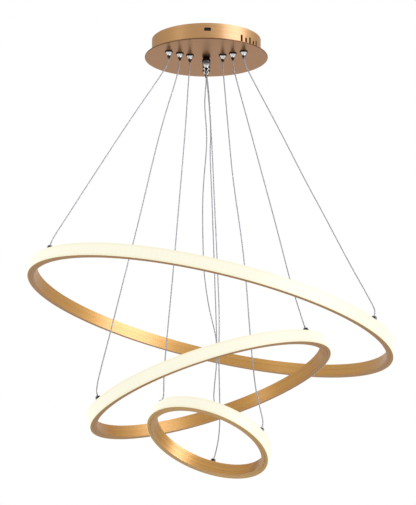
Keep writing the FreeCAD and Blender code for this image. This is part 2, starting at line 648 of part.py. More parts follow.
def cord_tube(node):
    """Round tube along straight runs joined by the largest tangent arcs that their runs allow."""
    points = cord_points(node)
    edges = []
    radii = []
    here = points[0]
    for before, corner, after in zip(points, points[1:], points[2:]):
        shorter = min((corner - before).Length, (after - corner).Length)
        towards = (corner - before).normalize()
        onwards = (after - corner).normalize()
        half_turn = towards.getAngle(onwards) / 2
        reach = BEND_SHARE * shorter
        radius = reach / math.tan(half_turn)
        middle = (onwards - towards).normalize()
        start = corner - towards * reach
        end = corner + onwards * reach
        crown = corner + middle * (radius / math.cos(half_turn) - radius)
        edges.append(Part.LineSegment(here, start).toShape())
        edges.append(Part.Arc(start, crown, end).toShape())
        radii.append(radius)
        here = end
    edges.append(Part.LineSegment(here, points[-1]).toShape())
    path = Part.Wire(edges)
    section = Part.Wire(Part.makeCircle(CORD_RADIUS, points[0], points[1] - points[0]))
    tube = path.makePipeShell([section], True, False)
    tube_ratio = tube.Volume / (math.pi * CORD_RADIUS ** 2 * path.Length)
    print(f"{node}: length {path.Length:.1f}, volume ratio {tube_ratio:.4f}, "
          f"radii {' '.join(f'{radius:.0f}' for radius in radii)}")
    return tube


# --- everything ----------------------------------------------------------------------------------

def ring_nodes(ring_name):
    """The pieces of one ring, placed."""
    ring = RINGS[ring_name]
    pieces = {
        f"{ring_name}_channel": channel(ring),
        f"{ring_name}_diffuser": diffuser(ring),
        f"{ring_name}_led_strip": led_strip(ring),
        f"{ring_name}_hangers": hangers(ring),
        f"{ring_name}_side_ferrules": ferrules(ring, ("left", "right")),
        f"{ring_name}_far_ferrule": ferrules(ring, ("far",)),
    }
    placement = ring_placement(ring)
    for piece in pieces.values():
        piece.Placement = placement.multiply(piece.Placement)
    return pieces


def gripper_nodes(ring_name):
    """The three grippers and plungers of one ring."""
    pieces = {}
    for arm in ARM_ANGLES:
        for kind, solid in (("gripper", gripper_body()), ("plunger", gripper_plunger())):
            solid.translate(gripper_spot(ring_name, arm))
            pieces[f"{kind}_{ring_name}_{arm}"] = solid
    return pieces


def all_nodes():
    """Every node's shape by name."""
    nodes = {
        "ceiling_bracket": ceiling_bracket(),
        "centre_stud": centre_stud(),
        "bracket_nut": bracket_nut(),
        "canopy_drum": canopy_drum(),
        "dust_screen": dust_screen(),
        "canopy_plate": canopy_plate(),
        "plate_nuts": plate_nuts(),
        "ball_nut": ball_nut(),
        "terminal_block": terminal_block(),
        "gripper_nuts": gripper_nuts(),
    }
    for name, degrees in DRIVER_ANGLES.items():
        nodes[name] = led_driver(degrees)
    for ring_name in RINGS:
        nodes.update(gripper_nodes(ring_name))
        nodes.update(ring_nodes(ring_name))
    for node in CORD_ROUTES:
        nodes[node] = cord_tube(node)
    return nodes


os.makedirs("parts", exist_ok=True)
for node_name, node_shape in all_nodes().items():
    node_shape.exportStep(f"parts/{node_name}.step")
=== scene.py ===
import logging
import math
from abc import ABC, abstractmethod
from dataclasses import dataclass, field
from enum import Enum
from typing import Any, Iterable, Optional, Union

import bmesh
import bpy
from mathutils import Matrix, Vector


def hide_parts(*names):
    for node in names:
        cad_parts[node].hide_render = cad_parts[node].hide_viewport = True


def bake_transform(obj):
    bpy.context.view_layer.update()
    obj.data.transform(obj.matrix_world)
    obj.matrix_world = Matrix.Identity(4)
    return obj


logging.basicConfig(level=logging.INFO, format="%(message)s")
LOG = logging.getLogger("hanging_light")

MM = 0.001
PLATE_BOTTOM = -0.0305
HANGER_TOP = 0.009  # from a ring's upper face to its hangers' tops
SAME_PLACE = 1e-9  # metres that count as none

Number = Union[int, float]
Point = tuple[float, float, float]
Colour = tuple[float, float, float]
Tint = tuple[float, float, float, float]
Input = Union["Socket", Number, Point, Tint]

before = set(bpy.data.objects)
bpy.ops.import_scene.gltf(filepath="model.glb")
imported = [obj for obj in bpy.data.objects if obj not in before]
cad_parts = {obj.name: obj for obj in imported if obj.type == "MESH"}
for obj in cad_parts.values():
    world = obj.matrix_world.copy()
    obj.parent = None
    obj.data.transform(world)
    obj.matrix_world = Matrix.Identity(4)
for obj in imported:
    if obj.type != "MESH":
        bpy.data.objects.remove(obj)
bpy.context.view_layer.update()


# --- shader graphs -------------------------------------------------------------------------------


class Socket:
    """An output of a shader node that can be used in sums, with numbers and other outputs."""

    def __init__(self, graph: "Graph", end: bpy.types.NodeSocket) -> None:
        """Wrap one output.

        Args:
            graph: The graph that holds the node.
            end: The node's output socket.
        """
        self.graph = graph
        self.end = end

    @property
    def is_number(self) -> bool:
        """True where the output carries one number."""
        return self.end.type == "VALUE"

    def _sum(self, operation: str, other: Input, swapped: bool = False) -> "Socket":
        """Add the node for one operation.

        Args:
            operation: Name of the Math or Vector Math operation.
            other: The other operand.
            swapped: True where the other operand comes first.

        Returns:
            The result's output.
        """
        plain = self.is_number and (
            other.is_number if isinstance(other, Socket) else not isinstance(other, tuple))
        if not plain and isinstance(other, (int, float)):
            other = (float(other),) * 3
        kind = "ShaderNodeMath" if plain else "ShaderNodeVectorMath"
        pair = (other, self) if swapped else (self, other)
        return self.graph.node(kind, {"operation": operation}, dict(enumerate(pair)))

    def __add__(self, other: Input) -> "Socket":
        """Sum."""
        return self._sum("ADD", other)

    def __radd__(self, other: Input) -> "Socket":
        """Sum with a plain value first."""
        return self._sum("ADD", other, True)

    def __sub__(self, other: Input) -> "Socket":
        """Difference."""
        return self._sum("SUBTRACT", other)

    def __rsub__(self, other: Input) -> "Socket":
        """Difference from a plain value."""
        return self._sum("SUBTRACT", other, True)

    def __mul__(self, other: Input) -> "Socket":
        """Product."""
        return self._sum("MULTIPLY", other)

    def __rmul__(self, other: Input) -> "Socket":
        """Product with a plain value first."""
        return self._sum("MULTIPLY", other, True)

    def __truediv__(self, other: Input) -> "Socket":
        """Quotient."""
        return self._sum("DIVIDE", other)

    def __rtruediv__(self, other: Input) -> "Socket":
        """Quotient of a plain value."""
        return self._sum("DIVIDE", other, True)

    def dot(self, other: Input) -> "Socket":
        """Dot product with a vector."""
        return self.graph.node("ShaderNodeVectorMath", {"operation": "DOT_PRODUCT"},
                               {0: self, 1: other}, "Value")


class Graph:
    """Builds the node tree of a material or of the world."""

    def __init__(self, tree: bpy.types.NodeTree) -> None:
        """Start from an empty tree.

        Args:
            tree: The tree to fill.
        """
        self.tree = tree
        tree.nodes.clear()

    def node(self, kind: str, settings: Optional[dict[str, Any]] = None,
             inputs: Optional[dict[Union[str, int], Input]] = None,
             output: Union[str, int] = 0) -> Socket:
        """Add a node.

        Args:
            kind: The node's type.
            settings: The node's own settings, and a ramp's stops as (place, colour) under "stops".
            inputs: Values or outputs for the node's inputs, by name or number.
            output: The output to hand back, by name or number.

        Returns:
            The wrapped output.
        """
        made = self.tree.nodes.new(kind)
        for name, value in (settings or {}).items():
            if name == "stops":
                self._fill_ramp(made.color_ramp, value)
            else:
                setattr(made, name, value)
        for name, value in (inputs or {}).items():
            if isinstance(value, Socket):
                self.tree.links.new(value.end, made.inputs[name])
            else:
                made.inputs[name].default_value = value
        return Socket(self, made.outputs[output])

    @staticmethod
    def _fill_ramp(ramp: bpy.types.ColorRamp, stops: list[tuple[float, Colour]]) -> None:
        """Give a colour ramp its stops.

        Args:
            ramp: The ramp.
            stops: Place and colour of each stop.
        """
        while len(ramp.elements) < len(stops):
            ramp.elements.new(1.0)
        for element, (place, colour) in zip(ramp.elements, stops):
            element.position = place
            element.color = (*colour, 1.0)

    def finish(self, kind: str, shader: Socket) -> None:
        """Join a shader to the tree's output node.

        Args:
            kind: Type of the output node.
            shader: The shader.
        """
        self.tree.links.new(shader.end, self.tree.nodes.new(kind).inputs["Surface"])

    def place(self) -> Socket:
        """Point of the surface in the piece's own coordinates, in metres."""
        return self.node("ShaderNodeTexCoord", output="Object")

    def noise(self, vector: Input, scale: float, detail: float = 2.0,
              roughness: float = 0.5) -> Socket:
        """Smooth noise from 0 to 1.

        Args:
            vector: Where the noise is read.
            scale: Waves per unit.
            detail: Octaves.
            roughness: How strong the finer octaves are.

        Returns:
            The noise's value.
        """
        return self.node("ShaderNodeTexNoise", {}, {"Vector": vector, "Scale": scale,
                                                    "Detail": detail, "Roughness": roughness})

    def ramp(self, value: Socket, stops: list[tuple[float, Colour]]) -> Socket:
        """Colour from a number.

        Args:
            value: The number, from 0 to 1.
            stops: Place and colour of each stop.

        Returns:
            The colour.
        """
        return self.node("ShaderNodeValToRGB", {"stops": stops}, {0: value})

    def blend(self, share: Input, first: Input, second: Input) -> Socket:
        """Mix of two colours.

        Args:
            share: How much of the second colour shows.
            first: The first colour.
            second: The second colour.

        Returns:
            The mixed colour.
        """
        sockets = {0: share, 6: first, 7: second}
        return self.node("ShaderNodeMix", {"data_type": "RGBA"}, sockets, 2)

    def within(self, value: Socket, low: float, high: float) -> Socket:
        """Number that runs from 0 at low to 1 at high and stays there outside them.

        Args:
            value: The number.
            low: Where the result is 0.
            high: Where the result is 1.

        Returns:
            The stretched number.
        """
        return self.node("ShaderNodeMapRange", {"interpolation_type": "SMOOTHSTEP"},
                         {"Value": value, "From Min": low, "From Max": high})

    def bump(self, height: Socket, distance: float) -> Socket:
        """Normal that follows a height.

        Args:
            height: The height.
            distance: Metres that a height of 1 stands for.

        Returns:
            The normal.
        """
        return self.node("ShaderNodeBump", {}, {"Height": height, "Distance": distance,
                                                "Strength": 1.0})

    def maths(self, operation: str, first: Input, second: Input = 0.0) -> Socket:
        """Number from a Math node that has no sign of its own in Python.

        Args:
            operation: The node's operation.
            first: The first number.
            second: The second number, where the operation takes two.

        Returns:
            The result.
        """
        return self.node("ShaderNodeMath", {"operation": operation}, {0: first, 1: second})

    def principled(self, inputs: dict[str, Input]) -> Socket:
        """Surface shader.

        Args:
            inputs: Values or outputs for its inputs, by name.

        Returns:
            The shader.
        """
        return self.node("ShaderNodeBsdfPrincipled", {}, inputs)


def rgb(red: int, green: int, blue: int) -> Tint:
    """Linear colour of a screen colour, by the sRGB curve.

    Args:
        red: Red from 0 to 255.
        green: Green from 0 to 255.
        blue: Blue from 0 to 255.

    Returns:
        Linear red, green, blue and 1.
    """
    levels = (channel / 255 for channel in (red, green, blue))
    linear = [v / 12.92 if v <= 0.04045 else ((v + 0.055) / 1.055) ** 2.4 for v in levels]
    return (*linear, 1.0)


def shaded(tint: Tint, level: float) -> Tint:
    """Colour at a share of its brightness.

    Args:
        tint: The colour.
        level: The share.

    Returns:
        The darker colour.
    """
    return (*(channel * level for channel in tint[:3]), 1.0)


def grey_bands(*stops: tuple[float, int]) -> tuple[tuple[float, Colour], ...]:
    """Ramp stops of plain greys.

    Args:
        stops: Place and screen level from 0 to 255 of each stop.

    Returns:
        Places and linear colours.
    """
    return tuple((place, rgb(level, level, level)[:3]) for place, level in stops)


# --- places --------------------------------------------------------------------------------------


@dataclass(frozen=True)
class Axes:
    """A round piece's middle and directions."""

    middle: Vector
    side: Vector
    back: Vector
    axis: Vector

    def turned(self, graph: Graph) -> tuple[Socket, Socket, Socket]:
        """Surface point as turn, radius and height about the axis.

        Args:
            graph: Graph that gets the nodes.

        Returns:
            Turn in radians, radius in metres and height in metres.
        """
        offset = graph.place() - tuple(self.middle)
        across = offset.dot(tuple(self.side))
        deep = offset.dot(tuple(self.back))
        turn = graph.maths("ARCTAN2", deep, across)
        reach = graph.maths("SQRT", across * across + deep * deep)
        return turn, reach, offset.dot(tuple(self.axis))


CANOPY_AXES = Axes(middle=Vector((0, 0, PLATE_BOTTOM)), side=Vector((1, 0, 0)),
                   back=Vector((0, 1, 0)), axis=Vector((0, 0, 1)))


# --- finishes ------------------------------------------------------------------------------------


@dataclass(frozen=True)
class Finish(ABC):
    """A finish that becomes a material of its own name."""

    name: str

    def material(self) -> bpy.types.Material:
        """The finish as a new material.

        Returns:
            The material, with its nodes.
        """
        material = bpy.data.materials.new(self.name)
        material.use_nodes = True
        graph = Graph(material.node_tree)
        graph.finish("ShaderNodeOutputMaterial", self.shader(graph))
        return material

    @abstractmethod
    def shader(self, graph: Graph) -> Socket:
        """Surface shader of the finish.

        Args:
            graph: Graph that gets the nodes.

        Returns:
            The shader.
        """


@dataclass(frozen=True)
class BrushedGold(Finish):
    """Gold coloured metal with fine lines that run round an axis, under clear lacquer.

    A rim is a darker outer edge: a painted dark reflection of a rounded edge. A skin is the outer
    face of a wall whose other faces are black: painted shade inside the wall's openings. A lip is
    the bottom face, with a colour of its own that is a painted reflection. A radius or height of 0
    leaves each of them out.
    """

    axes: Axes
    colour: Tint
    dark: Tint
    roughness: float = 0.38
    rough_lines: float = 0.1
    rough_clouds: float = 0.03
    line_height: float = 0.00001
    line_scale: float = 2600.0
    line_turn: float = 0.6
    streak_scale: float = 500.0
    streak_turn: float = 0.35
    cloud_scale: float = 9.0
    tone_shares: tuple[float, float, float] = (0.55, 0.3, 0.15)
    tone_ends: tuple[float, float] = (0.3, 0.7)
    coat: float = 0.6
    coat_roughness: float = 0.25
    coat_ior: float = 1.5
    edge_tint: Tint = (0.5, 0.38, 0.26, 1.0)
    # painted dark reflection: a band at the outer edge is darkened
    reflection_rim_radius: float = 0.0
    reflection_rim_width: float = 0.0015
    reflection_rim_level: float = 0.5
    # painted shade: behind the outer skin, inner faces and cut edges are near black
    skin_radius: float = 0.0
    skin_depth: float = 0.0003
    painted_shade_colour: Tint = rgb(9, 9, 9)
    inner_roughness: float = 0.9
    # painted reflection: the bottom face takes a colour of its own, standing in for what it
    # reflects
    lip_height: float = 0.0
    lip_depth: float = 0.0003
    lip_coat: float = 0.4
    lip_reflection_colour: Tint = rgb(178, 134, 92)

    def shader(self, graph: Graph) -> Socket:
        """Metal shader with brushed lines.

        Args:
            graph: Graph that gets the nodes.

        Returns:
            The shader.
        """
        turn, reach, height = self.axes.turned(graph)

        def drawn_out(turn_scale: float, scale: float) -> Socket:
            """Place for a noise that is drawn out round the axis."""
            return graph.node("ShaderNodeCombineXYZ", {}, {0: turn * turn_scale, 1: reach * scale,
                                                           2: height * scale})

        lines = graph.noise(drawn_out(self.line_turn, self.line_scale), 1.0, detail=3.0,
                            roughness=0.65)
        streaks = graph.noise(drawn_out(self.streak_turn, self.streak_scale), 1.0)
        cloud = graph.noise(graph.place(), self.cloud_scale)
        line_share, streak_share, cloud_share = self.tone_shares
        tone = graph.within(lines * line_share + streaks * streak_share + cloud * cloud_share,
                            *self.tone_ends)
        colour = graph.blend(tone, self.dark, self.colour)
        roughness = self.roughness + lines * self.rough_lines + cloud * self.rough_clouds
        metallic, coat = 1.0, self.coat
        # painted dark reflection: the outer band of the reach turns darker, standing in for the
        # dark reflection of a rounded edge
        if self.reflection_rim_radius:
            rim = graph.within(reach, self.reflection_rim_radius - self.reflection_rim_width, self.reflection_rim_radius)
            colour = graph.blend(rim, colour, shaded(self.dark, self.reflection_rim_level))
        # painted shade: faces behind the outer skin turn near black, standing in for the shade in
        # the wall's openings
        if self.skin_radius:
            skin = graph.within(reach, self.skin_radius - self.skin_depth, self.skin_radius)
            colour = graph.blend(skin, self.painted_shade_colour, colour)
            roughness = roughness * skin + (1.0 - skin) * self.inner_roughness
            metallic, coat = skin, skin * self.coat
        # painted reflection: the bottom face gets its own colour
        if self.lip_height:
            lip = graph.within(height * -1.0, self.lip_height - self.lip_depth, self.lip_height)
            colour = graph.blend(lip, colour, self.lip_reflection_colour)
            coat = self.coat - lip * (self.coat - self.lip_coat)
        return graph.principled({
            "Base Color": colour,
            "Metallic": metallic,
            "Roughness": roughness,
            "Normal": graph.bump(lines, self.line_height),
            "Coat Weight": coat,
            "Coat Roughness": self.coat_roughness,
            "Coat IOR": self.coat_ior,
            "Specular Tint": self.edge_tint,
        })


@dataclass(frozen=True)
class LitOpal(Finish):
    """Milky cover that glows evenly, a little less at its edges and between the light chips."""

    axes: Axes
    half_height: float
    chips: int
    glow: Tint = rgb(249, 246, 227)
    edge_glow: Tint = rgb(244, 238, 208)
    edge_share: float = 0.55
    body: Tint = rgb(92, 88, 70)
    strength: float = 0.92
    mean_level: float = 0.985
    chip_ripple: float = 0.006
    cloud_ripple: float = 0.02
    cloud_scale: float = 25.0
    grain_scale: float = 2500.0
    grain_height: float = 0.000004
    roughness: float = 0.42
    rough_clouds: float = 0.1

    def shader(self, graph: Graph) -> Socket:
        """Glowing shader.

        Args:
            graph: Graph that gets the nodes.

        Returns:
            The shader.
        """
        turn, _, height = self.axes.turned(graph)
        edge = graph.within(graph.maths("ABSOLUTE", height), self.half_height * self.edge_share,
                            self.half_height)
        spots = graph.maths("SINE", turn * float(self.chips))
        cloud = graph.noise(graph.place(), self.cloud_scale)
        even = graph.blend(edge, self.glow, self.edge_glow)
        level = self.mean_level + spots * self.chip_ripple + (cloud - 0.5) * self.cloud_ripple
        grain = graph.noise(graph.place(), self.grain_scale, detail=1.0)
        return graph.principled({
            "Base Color": self.body,
            "Roughness": self.roughness + cloud * self.rough_clouds,
            "Emission Color": even * level,
            "Emission Strength": self.strength,
            "Normal": graph.bump(grain, self.grain_height),
        })


@dataclass(frozen=True)
class Chrome(Finish):
    """Polished plating with faint wipe marks.

    The reflection_bands are greys from the bottom to the top of a height of twice the reach about
    the axes' middle: painted reflections and painted highlights. The flank_reflection is how much
    lighter the sides of a small piece are: a painted reflection.
    """

    axes: Axes
    reflection_bands: tuple[tuple[float, Colour], ...]
    reach: float = 0.012
    worn_share: float = 0.2
    worn_colour: Tint = rgb(70, 70, 74)
    wipe_scale: float = 300.0
    wipe_stretch: Point = (1.0, 1.0, 4.0)
    edge_tint: Tint = (0.5, 0.5, 0.51, 1.0)
    roughness: float = 0.04
    rough_wipes: float = 0.04
    flank_reflection: float = 0.0
    flank_reflection_colour: Tint = rgb(214, 214, 216)
    flank_ends: tuple[float, float] = (0.25, 0.5)

    def shader(self, graph: Graph) -> Socket:
        """Mirror-like shader.

        Args:
            graph: Graph that gets the nodes.

        Returns:
            The shader.
        """
        _, _, height = self.axes.turned(graph)
        wipe = graph.noise(graph.place() * self.wipe_stretch, self.wipe_scale, detail=3.0)
        # painted reflection: grey bands by height stand in for the plating's dark reflections and
        # highlights
        painted_reflection = graph.ramp((height + self.reach) / (2 * self.reach), list(self.reflection_bands))
        # painted reflection: sides of small pieces turn lighter where the surface turns away from
        # the view
        if self.flank_reflection:
            facing = graph.node("ShaderNodeLayerWeight", {}, {"Blend": 0.5}, "Facing")
            sides = graph.within(facing, *self.flank_ends)
            painted_reflection = graph.blend(sides * self.flank_reflection, painted_reflection, self.flank_reflection_colour)
        return graph.principled({
            "Base Color": graph.blend(wipe * self.worn_share, painted_reflection, self.worn_colour),
            "Metallic": 1.0,
            "Roughness": self.roughness + wipe * self.rough_wipes,
            "Specular Tint": self.edge_tint,
        })


@dataclass(frozen=True)
class ZincPlate(Finish):
    """Zinc plated steel with pale blue and straw patches and a fine grain."""

    patch_scale: float = 60.0
    grain_scale: float = 2200.0
    grain_height: float = 0.00001
    roughness: float = 0.28
    rough_patches: float = 0.12
    rough_grain: float = 0.06
    tints: tuple[tuple[float, Colour], ...] = ((0.3, rgb(176, 182, 190)[:3]),
                                               (0.5, rgb(198, 198, 196)[:3]),
                                               (0.7, rgb(204, 196, 178)[:3]))

    def shader(self, graph: Graph) -> Socket:
        """Metal shader with patches.

        Args:
            graph: Graph that gets the nodes.

        Returns:
            The shader.
        """
        patches = graph.noise(graph.place(), self.patch_scale, detail=3.0)
        grain = graph.noise(graph.place(), self.grain_scale)
        return graph.principled({
            "Base Color": graph.ramp(patches, list(self.tints)),
            "Metallic": 1.0,
            "Roughness": self.roughness + patches * self.rough_patches + grain * self.rough_grain,
            "Normal": graph.bump(grain, self.grain_height),
        })


@dataclass(frozen=True)
class MouldedPlastic(Finish):
    """Moulded plastic with a fine spark-eroded grain."""

    colour: Tint
    roughness: float = 0.45
    rough_grain: float = 0.12
    grain_scale: float = 1400.0
    grain_height: float = 0.00003
    cloud_scale: float = 40.0
    shade_level: float = 0.9
    shade_by_cloud: float = 0.6
    shade_by_grain: float = 0.2
    through: float = 0.0
    through_depth: float = 0.002

    def shader(self, graph: Graph) -> Socket:
        """Plastic shader with grain.

        Args:
            graph: Graph that gets the nodes.

        Returns:
            The shader.
        """
        grain = graph.noise(graph.place(), self.grain_scale, detail=3.0)
        cloud = graph.noise(graph.place(), self.cloud_scale)
        return graph.principled({
            "Base Color": graph.blend(cloud * self.shade_by_cloud + grain * self.shade_by_grain,
                                      self.colour, shaded(self.colour, self.shade_level)),
            "Roughness": self.roughness + grain * self.rough_grain,
            "Normal": graph.bump(grain, self.grain_height),
            "Subsurface Weight": self.through,
            "Subsurface Scale": self.through_depth,
        })


@dataclass(frozen=True)
class LightStrip(Finish):
    """White circuit strip with a row of yellow light chips."""

    axes: Axes
    chips: int
    chip_share: float = 0.45
    chip_half_height: float = 0.0014
    board: Tint = rgb(236, 236, 232)
    chip: Tint = rgb(240, 208, 96)
    chip_glow: Tint = rgb(255, 240, 196)
    unlit: Tint = (0.0, 0.0, 0.0, 1.0)
    roughness: float = 0.4
    rough_clouds: float = 0.1
    cloud_scale: float = 200.0

    def shader(self, graph: Graph) -> Socket:
        """Strip shader.

        Args:
            graph: Graph that gets the nodes.

        Returns:
            The shader.
        """
        turn, _, height = self.axes.turned(graph)
        beat = graph.maths("FRACT", turn * (self.chips / math.tau) + float(self.chips))
        row = graph.maths("LESS_THAN", graph.maths("ABSOLUTE", height), self.chip_half_height)
        mask = row * graph.maths("LESS_THAN", beat, self.chip_share)
        cloud = graph.noise(graph.place(), self.cloud_scale)
        return graph.principled({
            "Base Color": graph.blend(mask, self.board, self.chip),
            "Roughness": self.roughness + cloud * self.rough_clouds,
            "Emission Color": graph.blend(mask, self.unlit, self.chip_glow),
            "Emission Strength": 1.0,
        })


@dataclass(frozen=True)
class ClearJacket(Finish):
    """Clear plastic round a cord's wires."""

    clean: Tint = rgb(236, 236, 237)
    scuffed: Tint = rgb(226, 227, 229)
    scuff_scale: float = 700.0
    roughness: float = 0.1
    rough_scuffs: float = 0.12
    ior: float = 1.45
    clearness: float = 0.55

    def shader(self, graph: Graph) -> Socket:
        """Clear shader.

        Args:
            graph: Graph that gets the nodes.

        Returns:
            The shader.
        """
        scuffs = graph.noise(graph.place(), self.scuff_scale, detail=3.0)
        return graph.principled({
            "Base Color": graph.blend(scuffs, self.clean, self.scuffed),
            "Roughness": self.roughness + scuffs * self.rough_scuffs,
            "IOR": self.ior,
            "Transmission Weight": self.clearness,
        })


@dataclass(frozen=True)
class TinnedWire(Finish):
    """Fine tinned strands, seen as slanting lines on each wire."""

    strand_scale: float = 5200.0
    strand_height: float = 0.00003
    slant: Point = (0.6, 0.6, 1.0)
    # painted shade: the colour is darker in the grooves between strands than on their crests
    groove_shade: Tint = rgb(152, 147, 136)
    crests: Tint = rgb(187, 182, 169)
    metallic: float = 0.35
    roughness: float = 0.5
    rough_strands: float = 0.1

    def shader(self, graph: Graph) -> Socket:
        """Wire shader.

        Args:
            graph: Graph that gets the nodes.

        Returns:
            The shader.
        """
        lay = graph.place().dot(self.slant) * self.strand_scale
        strands = graph.maths("SINE", lay) * 0.5 + 0.5
        return graph.principled({
            "Base Color": graph.blend(strands, self.groove_shade, self.crests),
            "Metallic": self.metallic,
            "Roughness": self.roughness + strands * self.rough_strands,
            "Normal": graph.bump(strands, self.strand_height),
        })


@dataclass(frozen=True)
class PaleFloor(Finish):
    """Pale matt floor with broad soft clouds."""

    light: Tint = rgb(245, 242, 230)
    dull: Tint = rgb(240, 237, 225)
    cloud_scale: float = 0.8
    roughness: float = 0.8

    def shader(self, graph: Graph) -> Socket:
        """Floor shader.

        Args:
            graph: Graph that gets the nodes.

        Returns:
            The shader.
        """
        cloud = graph.noise(graph.place(), self.cloud_scale, detail=3.0)
        return graph.principled({"Base Color": graph.blend(cloud, self.light, self.dull),
                                 "Roughness": self.roughness})


# --- mesh helpers --------------------------------------------------------------------------------


def add_piece(name: str, mesh: bpy.types.Mesh, material: bpy.types.Material,
              smooth: bool = True) -> bpy.types.Object:
    """Put a mesh in the scene.

    Args:
        name: The piece's name.
        mesh: Its mesh.
        material: Its finish.
        smooth: True for smooth shading.

    Returns:
        The new object.
    """
    mesh.materials.append(material)
    for face in mesh.polygons:
        face.use_smooth = smooth
    piece = bpy.data.objects.new(name, mesh)
    bpy.context.scene.collection.objects.link(piece)
    return piece


def dress(node: str, material: bpy.types.Material) -> None:
    """Give a CAD node its finish.

    Args:
        node: The node's name.
        material: The finish.
    """
    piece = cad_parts[node]
    if not piece.material_slots:
        piece.data.materials.append(material)
    for slot in piece.material_slots:
        slot.link = "OBJECT"
        slot.material = material
    LOG.info("dressed %s with %s", node, material.name)


def metres(point: Point) -> Point:
    """A point in metres, from one in millimetres."""
    return tuple(v * MM for v in point)


def follow_spline(name: str, points: Iterable[Point], fineness: int = 24) -> list[Vector]:
    """Points along the smooth line that a cord's route makes.

    Args:
        name: Name for the curve.
        points: The route's points, in millimetres.
        fineness: Points read for each of the route's points.

    Returns:
        Points on the line, in metres.
    """
    route = [metres(point) for point in points]
    curve = bpy.data.curves.new(name, "CURVE")
    curve.dimensions = "3D"
    curve.resolution_u = fineness
    spline = curve.splines.new("NURBS")
    spline.points.add(len(route) - 1)
    for place, point in zip(spline.points, route):
        place.co = (*point, 1.0)
    spline.order_u = 3
    spline.use_endpoint_u = True
    holder = bpy.data.objects.new(name, curve)
    bpy.context.scene.collection.objects.link(holder)
    bpy.context.view_layer.update()
    mesh = bpy.data.meshes.new_from_object(holder)
    line = [vertex.co.copy() for vertex in mesh.vertices]
    bpy.data.objects.remove(holder)
    bpy.data.curves.remove(curve)
    bpy.data.meshes.remove(mesh)
    return line


def length_of(line: list[Vector]) -> float:
    """Length of a line of points."""
    return sum((b - a).length for a, b in zip(line, line[1:]))


def even_steps(line: list[Vector], step: float) -> list[Vector]:
    """The same line with points an even step apart.

    Args:
        line: Points along the line.
        step: Wanted distance between points.

    Returns:
        Evenly spaced points, both ends among them.
    """
    count = max(2, round(length_of(line) / step))
    wanted = length_of(line) / count
    points, walked, target = [line[0].copy()], 0.0, wanted
    for start, end in zip(line, line[1:]):
        run = (end - start).length
        while run > 0 and walked + run >= target - SAME_PLACE and len(points) < count:
            points.append(start.lerp(end, (target - walked) / run))
            target += wanted
        walked += run
    points.append(line[-1].copy())
    return points


def frames_along(line: list[Vector]) -> list[tuple[Vector, Vector]]:
    """Two directions across the line at each point, which turn as little as they can.

    Args:
        line: Points along the line.

    Returns:
        Pairs of unit vectors square to the line.
    """
    pairs = []
    across = Vector((1, 0, 0))
    for index in range(len(line)):
        before, after = line[max(index - 1, 0)], line[min(index + 1, len(line) - 1)]
        ahead = (after - before).normalized()
        across = (across - ahead * across.dot(ahead)).normalized()
        pairs.append((across.copy(), ahead.cross(across)))
    return pairs


def sweep(bm: bmesh.types.BMesh, line: list[Vector], radius: float, sides: int) -> None:
    """Add a closed round tube along a line.

    Args:
        bm: Mesh that gets the tube.
        line: Points along its middle.
        radius: Its radius.
        sides: Sides of its section.
    """
    rings = []
    for middle, (one, two) in zip(line, frames_along(line)):
        rings.append([bm.verts.new(middle + radius * (one * math.cos(a) + two * math.sin(a)))
                      for a in (math.tau * k / sides for k in range(sides))])
    for first, second in zip(rings, rings[1:]):
        for k in range(sides):
            bm.faces.new((first[k], first[(k + 1) % sides], second[(k + 1) % sides], second[k]))
    bm.faces.new(reversed(rings[0]))
    bm.faces.new(rings[-1])


def as_mesh(name: str, bm: bmesh.types.BMesh) -> bpy.types.Mesh:
    """Turn a build mesh into a mesh with outward faces.

    Args:
        name: The mesh's name.
        bm: The build mesh, which is freed.

    Returns:
        The mesh.
    """
    bmesh.ops.recalc_face_normals(bm, faces=bm.faces)
    mesh = bpy.data.meshes.new(name)
    bm.to_mesh(mesh)
    bm.free()
    return mesh


# --- cords ---------------------------------------------------------------------------------------


@dataclass(frozen=True)
class CordFinishes:
    """Finishes that all cords share."""

    jacket: bpy.types.Material
    wires: bpy.types.Material


